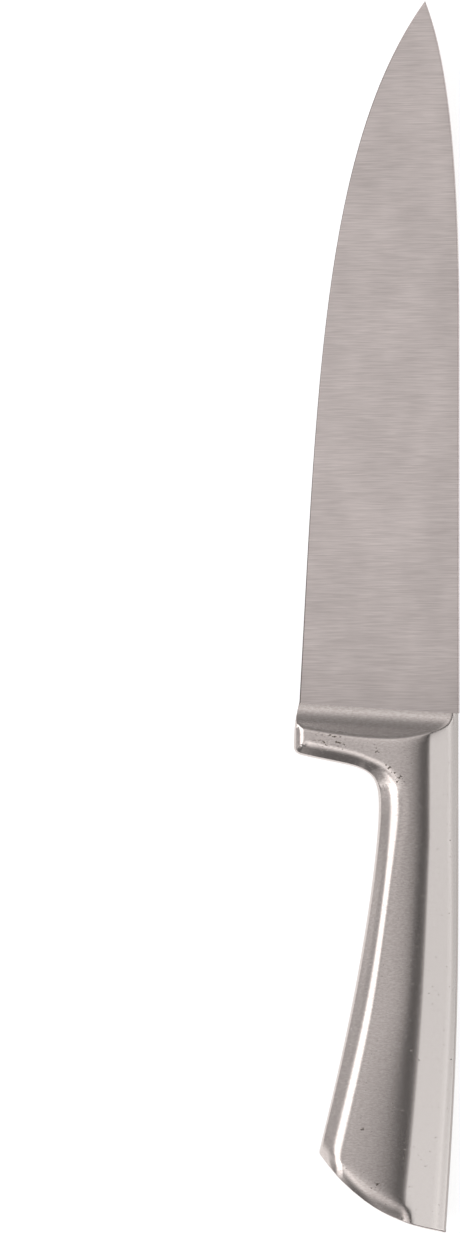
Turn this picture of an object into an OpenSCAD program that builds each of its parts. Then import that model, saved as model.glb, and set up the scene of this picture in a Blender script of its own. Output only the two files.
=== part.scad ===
// Carving knife with a hollow handle, all of stainless steel.
// It lies on its side: +Y runs to the tip, +X to the spine, +Z through the thickness.
// The design frame has x = 0 on the blade's spine and y = 0 where the bolster's fillet ends;
// place() then moves everything so that the origin is the bottom centre of the whole knife.

/* [Blade] */
// Length of the blade from the end of the bolster's fillet to the tip
blade_len = 197.5; // [150:0.5:240]
// Height of the blade at the heel, spine to edge
heel_w = 42.6; // [36:0.1:43.5]
// How far the tip lies below the line of the spine
tip_drop = 9; // [4:0.1:14]
// Thickness of the spine at the bolster
spine_t = 2; // [1.6:0.05:2.6]
// Thickness behind the edge at the heel
heel_edge_t = 0.5; // [0.42:0.01:0.7]
// Thickness behind the edge at the tip
tip_t = 0.7; // [0.6:0.01:1.0]
// Angle of the edge to the length of the blade at the tip
tip_edge_angle = 49; // [40:0.5:56]
// Length of edge that keeps the tip's direction
tip_edge_reach = 34; // [20:0.5:40]
// Angle of the edge to the length of the blade at the heel
heel_edge_angle = 1.9; // [0:0.1:3]
// Length of edge that keeps the heel's direction
heel_edge_reach = 94; // [70:1:110]
// Length over which the spine drops to the tip
spine_drop_len = 89; // [60:1:110]
// Angle of the spine to the length of the blade at the tip
spine_tip_angle = 22; // [15:0.5:28]
// Angle of the edge bevel on each side
bevel_angle = 15; // [12:0.5:20]
// Thickness left at the very edge
edge_land = 0.04; // [0.02:0.01:0.1]

/* [Tang] */
// Length of the tang behind the heel of the blade
tang_len = 62; // [50:1:75]
// Width of the tang
tang_w = 13; // [10:0.5:14]
// Distance from the spine to the middle of the tang
tang_x = 11; // [9:0.5:12]
// Length of blade seated in the bolster
seat_depth = 6; // [4:0.5:6.5]
// Step of the seated blade behind its edge and spine
seat_inset = 1.2; // [0.8:0.1:1.6]
// Step of the seated blade below each of its sides
seat_step = 0.1; // [0.06:0.01:0.14]

/* [Bolster] */
// Reach of the finger guard below the spine
guard_reach = 44; // [43.8:0.1:48]
// Depth of the guard's tip along the knife, behind the end of the fillet
guard_depth = 3.7; // [3:0.1:5]
// Radius of the hollow-ground fillet in front of the bolster
fillet_r = 8.3; // [7.6:0.1:9]
// Distance of the fillet's front line from its end, at the spine
fillet_len = 7; // [6.5:0.1:7.4]
// Slant of the fillet's front line across the blade
fillet_tilt = 3; // [0:0.5:3.5]
// Radius of the rim round the guard
guard_rim_r = 1.1; // [0.8:0.1:1.3]
// Radius of the guard's tip seen from the side
guard_tip_r = 2; // [1.8:0.1:2.4]
// Angle of the guard's underside to the cross direction
guard_slope = 13; // [8:0.5:18]
// Length of the spigot inside the handle shells
spigot_len = 8; // [5:0.5:12]
// Gap between the spigot and the shells
spigot_gap = 0.15; // [0.1:0.05:0.3]

/* [Handle] */
// Length of the handle from the end of the fillet to the butt
handle_len = 132.6; // [115:0.5:150]
// Distance of the joint between bolster and shells behind the end of the fillet
joint_y = 18.2; // [17:0.1:20]
// Height of the handle at that joint
neck_w = 20.9; // [19:0.1:23]
// Distance of the butt's spine corner from the line of the spine
butt_spine_x = 3.4; // [1:0.1:5]
// Distance of the butt's belly corner from the line of the spine
butt_belly_x = 37.7; // [34:0.1:41]
// Distance of the butt's belly corner forward of the butt's end
butt_slant = 21.2; // [15:0.1:26]
// Distance from the spine to the crease of the side, at the front
ridge_front = 7.8; // [6:0.1:9]
// Distance from the spine to the crease of the side, at the butt
ridge_butt = 12.2; // [9:0.1:14]
// Half thickness at the crease, at the front
ridge_front_t = 4.9; // [4.5:0.1:5.3]
// Half thickness at the crease, at the butt
ridge_butt_t = 8.4; // [7:0.1:9]
// Half thickness at which the spine facet starts, at the front
facet_front_t = 1.9; // [1.6:0.1:2.4]
// Half thickness at which the spine facet starts, at the butt
facet_butt_t = 3; // [2.4:0.1:3.6]
// Crown of the broad side face, at the front
crown_front = 1.6; // [1.2:0.1:1.8]
// Crown of the broad side face, at the butt
crown_butt = 0.4; // [0.1:0.1:0.8]
// Width over which the crown rises
crown_run = 8; // [6:0.5:12]
// Rounding of the spine
spine_r = 3; // [2.5:0.1:3.5]
// Rounding of the belly
belly_r = 5; // [4:0.1:6]
// Rounding of the butt
butt_r = 2; // [1.6:0.1:2.6]
// Wall of the handle shells
wall = 1.2; // [0.8:0.05:1.4]

/* [Welds] */
// Width of the ring weld between the bolster and the shells
collar_weld_w = 1; // [0.6:0.1:1.6]
// Width of the seam beads between the shells
seam_bead_w = 1.2; // [0.8:0.1:1.6]
// Depth of the seam beads
seam_bead_depth = 0.7; // [0.5:0.05:0.75]
// Leg of the fillet beads on the tang
tang_bead_leg = 1.6; // [1:0.1:2.4]

/* [Hidden] */

steel = [0.72, 0.70, 0.69];
weld_steel = [0.62, 0.61, 0.60];
far = 600;

// Plane geometry. left() turns a quarter turn anticlockwise, bez() is a cubic curve.
function unit(v) = v / norm(v);
function left(v) = [-v.y, v.x];
function heading(a) = [cos(a), sin(a)];
function mix(a, b, t) = a + (b - a) * t;
function clamp01(t) = max(0, min(1, t));
function bez(p, t) = pow(1 - t, 3) * p[0] + 3 * pow(1 - t, 2) * t * p[1]
    + 3 * (1 - t) * t * t * p[2] + pow(t, 3) * p[3];
function bez_way(p, t) = unit(pow(1 - t, 2) * (p[1] - p[0]) + 2 * (1 - t) * t * (p[2] - p[1])
    + t * t * (p[3] - p[2]));
function bez_run(p, n, from = 0) = [for (k = [from:n]) [bez(p, k / n), bez_way(p, k / n)]];
function lift(p, z) = [p.x, p.y, z];
function flip(p) = [p.x, p.y, -p.z];

// Outline of the blade: its edge and its spine meet at the tip.
function fillet_front(x) = fillet_len - x * tan(fillet_tilt);
tip = [-tip_drop, blade_len];
heel = [-heel_w, fillet_front(-heel_w)];
edge_curve = [tip, tip + tip_edge_reach * heading(tip_edge_angle - 180),
              heel + heel_edge_reach * heading(90 - heel_edge_angle), heel];
drop_y = blade_len - spine_drop_len;
spine_curve = [[0, drop_y], [0, drop_y + 0.37 * spine_drop_len],
               tip + 0.23 * spine_drop_len * heading(spine_tip_angle - 90), tip];
edge_steps = 48;
spine_steps = 16;
seat_x = seat_inset - heel_w;
seat_y = heel.y - seat_depth;

// Both sides of the blade are flat and meet its three named thicknesses.
heel_loss = (spine_t - heel_edge_t) / 2;
tip_loss = (spine_t - tip_t) / 2;
taper_det = heel_w * blade_len - tip_drop * heel.y;
taper_x = (heel_loss * blade_len - tip_loss * heel.y) / taper_det;
taper_y = (heel_loss * tip_drop - tip_loss * heel_w) / taper_det;
face_turn = [asin(taper_y / norm([taper_x, taper_y, 1])), -atan(taper_x), 0];
bevel_reach = 1.2;
bevel_over = 1;

// Outline of the bolster, from the heel of the blade round the guard to the neck.
guard_tip = [-guard_reach, -guard_depth / 2];
guard_front = [-heel_w - 0.2, heel.y];
guard_under = [-guard_reach + guard_tip_r, -guard_depth];
neck = [-neck_w, -joint_y];
guard_side_curve = [guard_front, guard_front - [0.2, 4], guard_tip + [0, 4], guard_tip];
guard_tip_curve = [guard_tip, guard_tip - [0, 0.6 * guard_tip_r],
                   guard_under - 0.6 * guard_tip_r * heading(-guard_slope), guard_under];
finger_curve = [guard_under, guard_under + 17 * heading(-guard_slope), neck + [0, 11.3], neck];

// Outline of the handle shells, from the collar weld to the butt.
shell_y = joint_y + collar_weld_w;
shell_run = handle_len - shell_y;
shell_neck = [-neck_w, -shell_y];
butt_end = [-butt_spine_x, -handle_len];
butt_corner = [-butt_belly_x, butt_slant - handle_len];
butt_reach = 0.44 * shell_run;
handle_spine = [[0, -shell_y], [0, -shell_y - butt_reach], [0, butt_reach - handle_len], butt_end];
handle_belly = [shell_neck, shell_neck - [0, 10],
                butt_corner + butt_reach * heading(75.9), butt_corner];
butt_curve = [butt_end, butt_end + 14.7 * heading(171.9),
              butt_corner + 14.7 * heading(-49.3), butt_corner];

// Half thickness of the side at distance d from the spine, with s = 0 at the fillet's end
// and 1 at the butt: a flat facet from the spine to the crease, then a crowned face.
function run_at(y) = clamp01(-y / handle_len);
function ridge_d(s) = mix(ridge_front, ridge_butt, s * s);
function ridge_t(s) = mix(ridge_front_t, ridge_butt_t, s);
function facet_t(s) = mix(facet_front_t, facet_butt_t, s);
function side_t(d, s) = d < ridge_d(s)
    ? mix(facet_t(s), ridge_t(s), d / ridge_d(s))
    : ridge_t(s) + mix(crown_front, crown_butt, s) * (1 - exp(-(d - ridge_d(s)) / crown_run));
function round_off(d, r) = sqrt(max(0, 1 - pow(1 - clamp01(d / r), 2)));

// Grid over one side of a shell: column i runs from spine to belly, row j from the neck to
// the butt. Step 0 of a rounding is the outline and step 1 carries the seam bead.
round_steps = [0, 0, 24, 44, 66, 90];
round_n = len(round_steps) - 1;
facet_n = 3;
side_n = 2;
cols = 2 * round_n + facet_n + side_n;
body_n = 16;
rows = body_n + round_n;
bead_inset = 0.12;
function round_step(k, r, inset) =
    k > 1 ? inset + (r - inset) * (1 - cos(round_steps[k]))
    : inset > 0 ? inset : k * bead_inset;
function across(i, w, s, inset) =
    i <= round_n ? round_step(i, spine_r, inset)
    : i <= round_n + facet_n ? mix(spine_r, ridge_d(s), (i - round_n) / facet_n)
    : i <= cols - round_n ? mix(ridge_d(s), w - belly_r, (i - round_n - facet_n) / side_n)
    : w - round_step(cols - i, belly_r, inset);
function along(j, inset) =
    j <= body_n ? (1 - butt_r / (3 * butt_reach)) * j / body_n
    : 1 - round_step(rows - j, butt_r, inset) / (3 * butt_reach);
function plan(u, v) = mix(bez(handle_spine, v), bez(handle_belly, v), u)
    + v * (bez(butt_curve, u) - mix(butt_end, butt_corner, u));
function row_w(v) = norm(bez(handle_spine, v) - bez(handle_belly, v));
function row_s(v) = run_at(bez(handle_spine, v).y);

// Outer point of the grid, or the inner one where inset is the wall.
function skin(i, j, inset = 0) =
    let (v = along(j, inset), w = row_w(v), s = row_s(v), d = across(i, w, s, inset))
    let (p = plan(d / w, v), to_butt = norm(p - plan(d / w, 1)))
    let (on_edge = i == 0 || i == cols || j == rows)
    let (on_seam = i == 1 || i == cols - 1 || j == rows - 1)
    lift(p, on_edge ? 0 : on_seam ? (inset > 0 ? 0 : seam_bead_w / 2)
        : (side_t(d, s) - inset) * min(round_off(d - inset, spine_r - inset),
              round_off(w - d - inset, belly_r - inset),
              round_off(to_butt - inset, butt_r - inset)));

// Root of the seam's groove below the seam point i, j.
function root(i, j) =
    let (v = along(j, 0) * (1 - seam_bead_depth / (3 * butt_reach)) / along(rows - 1, 0))
    let (w = row_w(v), d = across(i, w, row_s(v), 0))
    let (part = (d - bead_inset) / (w - 2 * bead_inset))
    lift(plan(mix(seam_bead_depth, w - seam_bead_depth, part) / w, v), 0);

// The knife's own greatest half thickness, which is how high it lies.
half_t = max([for (i = [0:cols]) for (j = [0:rows]) skin(i, j).z]);

// Puts the design frame on the bottom centre of the whole knife.
module place() {
    translate([guard_reach / 2, (handle_len - blade_len) / 2, half_t]) children();
}

// Solid through a list of rings of points, with a flat cap at either end. The quads of the
// second half of a ring are split the other way, so a mirrored ring has mirrored faces.
module sweep(rings) {
    n = len(rings[0]);
    last = len(rings) - 1;
    function at(j, k) = j * n + k % n;
    polyhedron(
        points = [for (ring = rings) each ring],
        faces = concat(
            [[for (k = [0:n - 1]) at(0, k)], [for (k = [n - 1:-1:0]) at(last, k)]],
            [for (j = [0:last - 1]) for (k = [0:n - 1]) each k < n / 2
                ? [[at(j, k), at(j + 1, k), at(j + 1, k + 1)],
                   [at(j, k), at(j + 1, k + 1), at(j, k + 1)]]
                : [[at(j, k), at(j + 1, k), at(j, k + 1)],
                   [at(j + 1, k), at(j + 1, k + 1), at(j, k + 1)]]]));
}

// Half space below the blade's upper side.
module under_face() {
    translate([0, 0, spine_t / 2]) rotate(face_turn)
        translate([-far / 2, -far / 2, -far]) cube(far);
}

// Cutter that leaves the upper bevel along the edge.
module bevel_cut() {
    run = bez_run(edge_curve, edge_steps);
    path = concat([[run[0][0] - 3 * run[0][1], run[0][1]]], run,
                  [[heel + 3 * run[edge_steps][1], run[edge_steps][1]]]);
    top = spine_t;
    sweep([for (q = path) let (n = left(q[1])) [
        lift(q[0] - bevel_over * n, edge_land / 2 - bevel_over * tan(bevel_angle)),
        lift(q[0] + bevel_reach * n, edge_land / 2 + bevel_reach * tan(bevel_angle)),
        lift(q[0] + bevel_reach * n, top),
        lift(q[0] - bevel_over * n, top)]]);
}

// Plate of the given outline between the two flat sides of the blade, each sunk by a step.
module faced(outline, step = 0) {
    intersection() {
        linear_extrude(2 * spine_t, center = true) polygon(outline);
        translate([0, 0, -step]) under_face();
        mirror([0, 0, 1]) translate([0, 0, -step]) under_face();
    }
}

// End of the blade that sits in the bolster, and on past the bolster's front line.
module seated_end(past) {
    faced([[seat_x, seat_y], [-seat_inset, seat_y],
           [-seat_inset, fillet_front(-seat_inset) + past],
           [seat_x, fillet_front(seat_x) + past]], seat_step);
}

module tang() {
    translate([-tang_x - tang_w / 2, seat_y - tang_len, -spine_t / 2])
        cube([tang_w, tang_len + seat_depth / 4, spine_t]);
}

// Blade and tang before the bevels are ground. A shoulder all round the seated end stops
// the blade against the front of the bolster.
module blade_blank() {
    faced(concat(
        [for (q = bez_run(edge_curve, edge_steps)) q[0]],
        [[0, fillet_len]],
        [for (k = [0:spine_steps - 1]) bez(spine_curve, k / spine_steps)]));
    seated_end(1);
    tang();
}

// Room for the seated end of the blade and for the tang.
module blade_seat() {
    seated_end(seat_depth);
    tang();
}

module blade() {
    color(steel) place() difference() {
        blade_blank();
        bevel_cut();
        mirror([0, 0, 1]) bevel_cut();
    }
}

// Section of the handle at the neck in the XZ plane, drawn in by inset.
function neck_section(inset) =
    let (half = [for (i = [1:cols - 1]) skin(i, 0, inset)])
    concat(inset > 0 ? [] : [[skin(0, 0).x, 0]],
           [for (p = half) [p.x, p.z]],
           inset > 0 ? [] : [[skin(cols, 0).x, 0]],
           [for (k = [len(half) - 1:-1:0]) if (half[k].z > 0) [half[k].x, -half[k].z]]);

// Prism of a neck section, from y = -from to y = -to.
module neck_prism(from, to, inset) {
    translate([0, -from, 0]) rotate([90, 0, 0])
        linear_extrude(to - from) polygon(neck_section(inset));
}

// Block with the handle's side face, long and wide enough for the whole bolster.
module bolster_block() {
    wide = guard_reach + 2;
    wide_n = 9;
    front = heel.y + 2;
    function ring(y) =
        let (s = run_at(y))
        let (ds = concat([for (k = [2:round_n]) spine_r * (1 - cos(round_steps[k]))],
                         [for (k = [1:facet_n]) mix(spine_r, ridge_d(s), k / facet_n)],
                         [for (k = [1:wide_n]) mix(ridge_d(s), wide, k / wide_n)]))
        let (half = [for (d = ds) [-d, y, side_t(d, s) * round_off(d, spine_r)]])
        concat([[0, y, 0]], half, [for (k = [len(half) - 1:-1:0]) flip(half[k])]);
    sweep([for (y = [front, 0, -joint_y / 3, -2 * joint_y / 3, -joint_y]) ring(y)]);
}

// Way round the guard and finger curve: points, directions and the rim's radius there.
function rim_way() =
    let (side = bez_run(guard_side_curve, 6), round = bez_run(guard_tip_curve, 5, 1),
         finger = bez_run(finger_curve, 22, 1))
    concat([[side[0][0] + [0, 3], side[0][1], guard_rim_r]],
           [for (q = side) [q[0], q[1], guard_rim_r]],
           [for (q = round) [q[0], q[1], guard_rim_r]],
           [for (k = [0:len(finger) - 1]) let (t = clamp01(k / 12 - 0.75))
               [finger[k][0], finger[k][1], mix(guard_rim_r, belly_r, t * t * (3 - 2 * t))]],
           [[neck - [0, 1], [0, -1], belly_r]]);

// Cutter that rounds the guard and finger curve, from the upper side round to the lower.
module rim_cut() {
    out = 1.5;
    above = 2;
    sweep([for (q = rim_way())
        let (n = left(q[1]), r = q[2], inner = q[0] + r * n)
        let (h = side_t(-inner.x, run_at(inner.y)))
        concat([lift(q[0] - out * n, -h - above), lift(inner, -h - above)],
               [for (a = [-90:15:90]) lift(q[0] + r * (1 - cos(a)) * n, h * sin(a))],
               [lift(inner, h + above), lift(q[0] - out * n, h + above)])]);
}

// Cutter that hollows the upper side of the bolster down to the blade's face, in an arc.
module fillet_cut() {
    feather = 0.05;
    ahead = 0.2;
    high = 2 * fillet_r;
    arc = [for (a = [180:5:270]) fillet_r * [cos(a), 1 + sin(a)]];
    translate([0, 0, spine_t / 2 + feather]) rotate(face_turn)
        translate([0, fillet_len + ahead, 0]) rotate([0, 0, -fillet_tilt]) rotate([90, 0, 90])
            linear_extrude(3 * guard_reach, center = true)
                polygon(concat(arc, [[high, 0], [high, high], [-fillet_r, high]]));
}

module bolster() {
    room = 0.5;
    past = 1.5;
    high = 4 * ridge_butt_t;
    way = rim_way();
    color(steel) place() difference() {
        union() {
            difference() {
                intersection() {
                    bolster_block();
                    linear_extrude(high, center = true)
                        polygon(concat([for (q = way) q[0] - room * left(q[1])],
                                       [[past, -joint_y - past], [past, way[0][0].y]]));
                }
                rim_cut();
                fillet_cut();
                mirror([0, 0, 1]) fillet_cut();
                translate([0, fillet_len, 0]) rotate([0, 0, -fillet_tilt])
                    translate([-2 * guard_reach, 0, -high / 2])
                        cube([3 * guard_reach, high, high]);
            }
            neck_prism(joint_y - 1, joint_y + spigot_len, wall + spigot_gap);
        }
        blade_seat();
    }
}

// Seam points in their order: along the spine, across the butt and back along the belly.
seam = concat([for (j = [0:rows - 1]) [1, j]],
              [for (i = [2:cols - 1]) [i, rows - 1]],
              [for (j = [rows - 2:-1:0]) [cols - 1, j]]);

// Upper half shell. It carries its half of the butt wall, and its rim is stepped for the bead.
module shell() {
    m = cols - 1;
    inner0 = m * rows;
    root0 = 2 * inner0;
    function o(i, j) = (i - 1) * rows + j;
    function in(i, j) = inner0 + o(i, j);
    function quad(a, b, c, d) = [[a, b, c], [a, c, d]];
    ends = [0, len(seam) - 1];
    polyhedron(
        points = concat(
            [for (i = [1:m]) for (j = [0:rows - 1]) skin(i, j)],
            [for (i = [1:m]) for (j = [0:rows - 1]) skin(i, j, wall)],
            [for (q = seam) root(q[0], q[1])]),
        faces = concat(
            [for (i = [1:m - 1]) for (j = [0:rows - 2])
                each quad(o(i + 1, j), o(i, j), o(i, j + 1), o(i + 1, j + 1))],
            [for (i = [1:m - 1]) for (j = [0:rows - 2])
                each quad(in(i, j), in(i + 1, j), in(i + 1, j + 1), in(i, j + 1))],
            [for (k = [0:len(seam) - 2]) let (a = seam[k], b = seam[k + 1])
                each concat(quad(o(a[0], a[1]), root0 + k, root0 + k + 1, o(b[0], b[1])),
                            quad(root0 + k, in(a[0], a[1]), in(b[0], b[1]), root0 + k + 1))],
            [for (i = [1:m - 1]) each quad(o(i, 0), o(i + 1, 0), in(i + 1, 0), in(i, 0))],
            [[o(1, 0), in(1, 0), root0], [o(m, 0), root0 + ends[1], in(m, 0)]]));
}

module handle_shell_upper() { color(steel) place() shell(); }
module handle_shell_lower() { color(steel) place() mirror([0, 0, 1]) shell(); }

// Ring of weld metal between the bolster and the shells.
module collar_weld() {
    color(weld_steel) place() difference() {
        neck_prism(joint_y, shell_y, 0);
        neck_prism(joint_y - 1, shell_y + 1, wall);
    }
}

// Bead in the groove between the shells, from one seam point to another.
module seam_bead(from, to) {
    sweep([for (k = [from:to]) let (i = seam[k][0], j = seam[k][1], top = skin(i, j))
        let (corner_i = i == 1 ? 0 : i == cols - 1 ? cols : i)
        let (rim = skin(j == rows - 1 ? corner_i : corner_i, j == rows - 1 ? rows : j))
        [rim, top, root(i, j), flip(top)]]);
}

spine_bend = rows - 1;
belly_bend = spine_bend + cols - 2;
module spine_seam_weld() { color(weld_steel) place() seam_bead(0, spine_bend); }
module butt_seam_weld() { color(weld_steel) place() seam_bead(spine_bend, belly_bend); }
module belly_seam_weld() { color(weld_steel) place() seam_bead(belly_bend, len(seam) - 1); }

// Fillet beads between the faces of the tang and the back of the spigot.
module tang_welds() {
    leg = tang_bead_leg;
    module bead() {
        translate([-tang_x + tang_w / 2 - 1, -joint_y - spigot_len, spine_t / 2])
            rotate([0, -90, 0]) linear_extrude(tang_w - 2) polygon([[0, 0], [leg, 0], [0, -leg]]);
    }
    color(weld_steel) place() {
        bead();
        mirror([0, 0, 1]) bead();
    }
}

blade();
bolster();
handle_shell_upper();
handle_shell_lower();
collar_weld();
spine_seam_weld();
belly_seam_weld();
butt_seam_weld();
tang_welds();
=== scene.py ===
import math

import bmesh
import bpy
import numpy as np
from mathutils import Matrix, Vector
from mathutils.geometry import delaunay_2d_cdt


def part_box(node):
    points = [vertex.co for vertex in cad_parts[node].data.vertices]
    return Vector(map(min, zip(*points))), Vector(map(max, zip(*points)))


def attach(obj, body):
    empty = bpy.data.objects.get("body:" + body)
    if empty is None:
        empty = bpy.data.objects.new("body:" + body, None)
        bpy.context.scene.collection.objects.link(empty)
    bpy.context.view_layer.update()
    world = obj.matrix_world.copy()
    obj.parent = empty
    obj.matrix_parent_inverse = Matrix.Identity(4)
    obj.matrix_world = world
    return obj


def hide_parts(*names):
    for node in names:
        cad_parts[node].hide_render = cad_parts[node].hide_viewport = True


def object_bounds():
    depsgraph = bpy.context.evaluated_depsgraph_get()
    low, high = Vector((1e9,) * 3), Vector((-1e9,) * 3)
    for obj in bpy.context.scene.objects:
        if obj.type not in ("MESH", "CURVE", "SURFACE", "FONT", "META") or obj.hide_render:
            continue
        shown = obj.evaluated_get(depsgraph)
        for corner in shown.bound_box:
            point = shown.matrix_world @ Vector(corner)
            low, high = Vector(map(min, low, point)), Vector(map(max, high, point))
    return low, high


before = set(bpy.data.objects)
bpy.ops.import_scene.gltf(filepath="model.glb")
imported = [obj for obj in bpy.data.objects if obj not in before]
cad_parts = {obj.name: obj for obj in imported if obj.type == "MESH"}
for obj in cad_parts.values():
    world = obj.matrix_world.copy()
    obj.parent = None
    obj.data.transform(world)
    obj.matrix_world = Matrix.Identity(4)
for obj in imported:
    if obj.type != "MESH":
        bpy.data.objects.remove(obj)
cad_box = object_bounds()
MM = 0.001

# Camera.
# The knife lies on its side under a camera that looks straight down on it and leans a little
# towards the spine, so a thin strip of the blade's back shows. The lens is long, so the view
# is nearly parallel. The photograph's frame holds the knife at its right side.
PHOTO_W, PHOTO_H = 460, 1233
KNIFE_MM, KNIFE_PX, SPINE_PX = 330, 1231.5, 458.4
LEAN = math.radians(9)
CAMERA_FAR, SENSOR_MM = 3.0, 36

mm_per_px = KNIFE_MM / KNIFE_PX
spine_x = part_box("blade")[1][0]
middle_z = (cad_box[0][2] + cad_box[1][2]) / 2
across = Vector((math.cos(LEAN), 0, -math.sin(LEAN)))
aim = Vector((spine_x, 0, middle_z)) - (SPINE_PX - PHOTO_W / 2) * mm_per_px * MM * across
camera_data = bpy.data.cameras.new("camera")
camera = bpy.data.objects.new("camera", camera_data)
bpy.context.scene.collection.objects.link(camera)
bpy.context.scene.camera = camera
camera.location = aim + CAMERA_FAR * Vector((math.sin(LEAN), 0, math.cos(LEAN)))
camera.rotation_euler = (0, LEAN, 0)
camera_data.sensor_fit = "VERTICAL"
camera_data.sensor_height = SENSOR_MM
camera_data.lens = SENSOR_MM * CAMERA_FAR / (PHOTO_H * mm_per_px * MM)
camera_data.clip_end = 20

# Blade.
# One stamping of stainless steel, ground thinner towards the edge and the tip, with a narrow
# bevel on each side of the edge and a softened spine. Its end and its tang run into the handle.
BLADE_LEN, HEEL_W, TIP_DROP, SPINE_T = 197.5, 43.1, 9.0, 2.0
FACE_SLOPE_X, FACE_SLOPE_Y = 0.01706, -0.00251
BEVEL_SLOPE, EDGE_LAND, SPINE_ROUND, SPINE_DEPTH = 0.62, 0.04, 0.45, 0.4
# A curve leaves each of its ends at an angle, and is pulled that way over a length.
HEEL_PULL, HEEL_ANGLE, TIP_PULL, TIP_ANGLE = 87, 86.8, 46.6, 53.9
DROP_Y, DROP_LEN, SPINE_PROUD = 108.5, 89.0, 0.25
DROP_START_PULL, DROP_TIP_PULL, DROP_TIP_ANGLE = 0.37, 0.23, -68
SEAT_INSET, SEAT_DEPTH, SEAT_STEP = 1.2, 6.0, 0.1
TANG_X, TANG_W, TANG_LEN = 11.0, 13.0, 62.0
# The bolster's hollow begins on this line across the blade.
FILLET_LEN, FILLET_TILT = 6.5, math.radians(3.68)
HANDLE_LEN = 132.6
# Design points are in millimetres from here: on the line of the spine, in the middle plane,
# between the lengths of blade and handle. X runs to the spine and Y to the tip.
ZERO = np.array([spine_x / MM, cad_box[0][1] / MM + HANDLE_LEN, middle_z / MM])


def mix(a, b, t):
    return a + (b - a) * t


def heading(degrees):
    return np.array([math.cos(math.radians(degrees)), math.sin(math.radians(degrees))])


def curve(points, t):
    """Points of a cubic curve and their directions, at the values t."""
    p = [np.asarray(q, float) for q in points]
    t = np.asarray(t, float)[..., None]
    at = (1 - t) ** 3 * p[0] + 3 * (1 - t) ** 2 * t * p[1] + 3 * (1 - t) * t * t * p[2] + t ** 3 * p[3]
    way = (1 - t) ** 2 * (p[1] - p[0]) + 2 * (1 - t) * t * (p[2] - p[1]) + t * t * (p[3] - p[2])
    return at, way / np.linalg.norm(way, axis=-1, keepdims=True)


def crossing(y, line, ways):
    """Point where a line reaches y, and the line's direction there."""
    at = np.array([np.interp(y, line[:, 1], line[:, 0]), y])
    return at, np.array([np.interp(y, line[:, 1], ways[:, k]) for k in (0, 1)])


def fillet_front(x):
    return FILLET_LEN - x * math.tan(FILLET_TILT)


def face_height(x, y):
    """Half thickness of the blade between its bevel and its spine, thinner to edge and tip."""
    return SPINE_T / 2 + FACE_SLOPE_X * x + FACE_SLOPE_Y * y


def linear(hex_colour):
    """sRGB hex to linear RGBA."""
    values = [int(hex_colour[i:i + 2], 16) / 255 for i in (1, 3, 5)]
    return [v / 12.92 if v <= 0.04045 else ((v + 0.055) / 1.055) ** 2.4 for v in values] + [1]


def grey(value):
    return [value] * 3 + [1]


def node(tree, kind, settings=None, stops=(), **links):
    """Adds a node. Stops are a ramp's positions and colours. A link is a value or another
    node's output, for the input that it names in words or, after an underscore, by number."""
    made = tree.nodes.new(kind)
    for name, value in (settings or {}).items():
        setattr(made, name, value)
    for k, (position, colour) in enumerate(stops):
        stop = made.color_ramp.elements[k] if k < 2 else made.color_ramp.elements.new(position)
        stop.position = position
        stop.color = colour
    for name, value in links.items():
        key = int(name[1:]) if name[0] == "_" else name.replace("_", " ")
        if isinstance(value, bpy.types.NodeSocket):
            tree.links.new(value, made.inputs[key])
        else:
            made.inputs[key].default_value = value
    return made


def new_material(name):
    """A material with an empty tree and its output."""
    material = bpy.data.materials.new(name)
    material.use_nodes = True
    material.node_tree.nodes.clear()
    return material, material.node_tree, material.node_tree.nodes.new("ShaderNodeOutputMaterial")


def grain(tree, lengths_mm, detail):
    """Noise on object coordinates with the given grain lengths along X, Y and Z."""
    place = node(tree, "ShaderNodeTexCoord").outputs["Object"]
    scale = [1 / (length * MM) for length in lengths_mm]
    spread = node(tree, "ShaderNodeMapping", Vector=place, Scale=scale).outputs[0]
    return node(tree, "ShaderNodeTexNoise", Vector=spread, Scale=1, Detail=detail).outputs["Fac"]


def add_piece(name, points_mm, faces, material, nodes, sharp=35):
    """Makes a mesh from design points in millimetres and fixes it to the knife."""
    mesh = bpy.data.meshes.new(name)
    mesh.from_pydata(((np.asarray(points_mm) + ZERO) * MM).tolist(), [], [list(f) for f in faces])
    mesh.validate()
    work = bmesh.new()
    work.from_mesh(mesh)
    bmesh.ops.remove_doubles(work, verts=work.verts, dist=1e-6)
    bmesh.ops.recalc_face_normals(work, faces=work.faces)
    work.to_mesh(mesh)
    work.free()
    for polygon in mesh.polygons:
        polygon.use_smooth = True
    mesh.set_sharp_from_angle(angle=math.radians(sharp))
    mesh.materials.append(material)
    made = bpy.data.objects.new(name, mesh)
    bpy.context.scene.collection.objects.link(made)
    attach(made, "root")
    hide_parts(*nodes)


def both_sides(plan, height, faces):
    """Closed solid: an upper sheet of faces over the plan, its mirror, and a wall between."""
    count, edges = len(plan), {}
    for f in faces:
        for a, b in zip(f, f[1:] + f[:1]):
            edges[a, b] = True
    walls = [(b, a, a + count, b + count) for a, b in edges if (b, a) not in edges]
    points = np.concatenate([np.column_stack([plan, height]), np.column_stack([plan, -height])])
    return points, faces + [tuple(k + count for k in f[::-1]) for f in faces] + walls


# Stainless sheet, ground on a belt. The lines cross the blade from spine to edge, drawn a
# little coarser than the real 240 grit so that they show. The belt has pressed unevenly, which
# leaves slow light and dark patches. The heel is darkened towards the bolster: painted shade.
# The bevels are finished on a honing wheel, and their colour is darkened: painted shade.
LINE_MM, PATCH_MM, LINE_DEPTH = (7, 0.3, 7), (11, 16, 11), 0.0008
# Painted shade beside the bolster fades out between these distances along the blade.
HEEL_SHADE_FROM, HEEL_SHADE_TO = 6, 50
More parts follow.
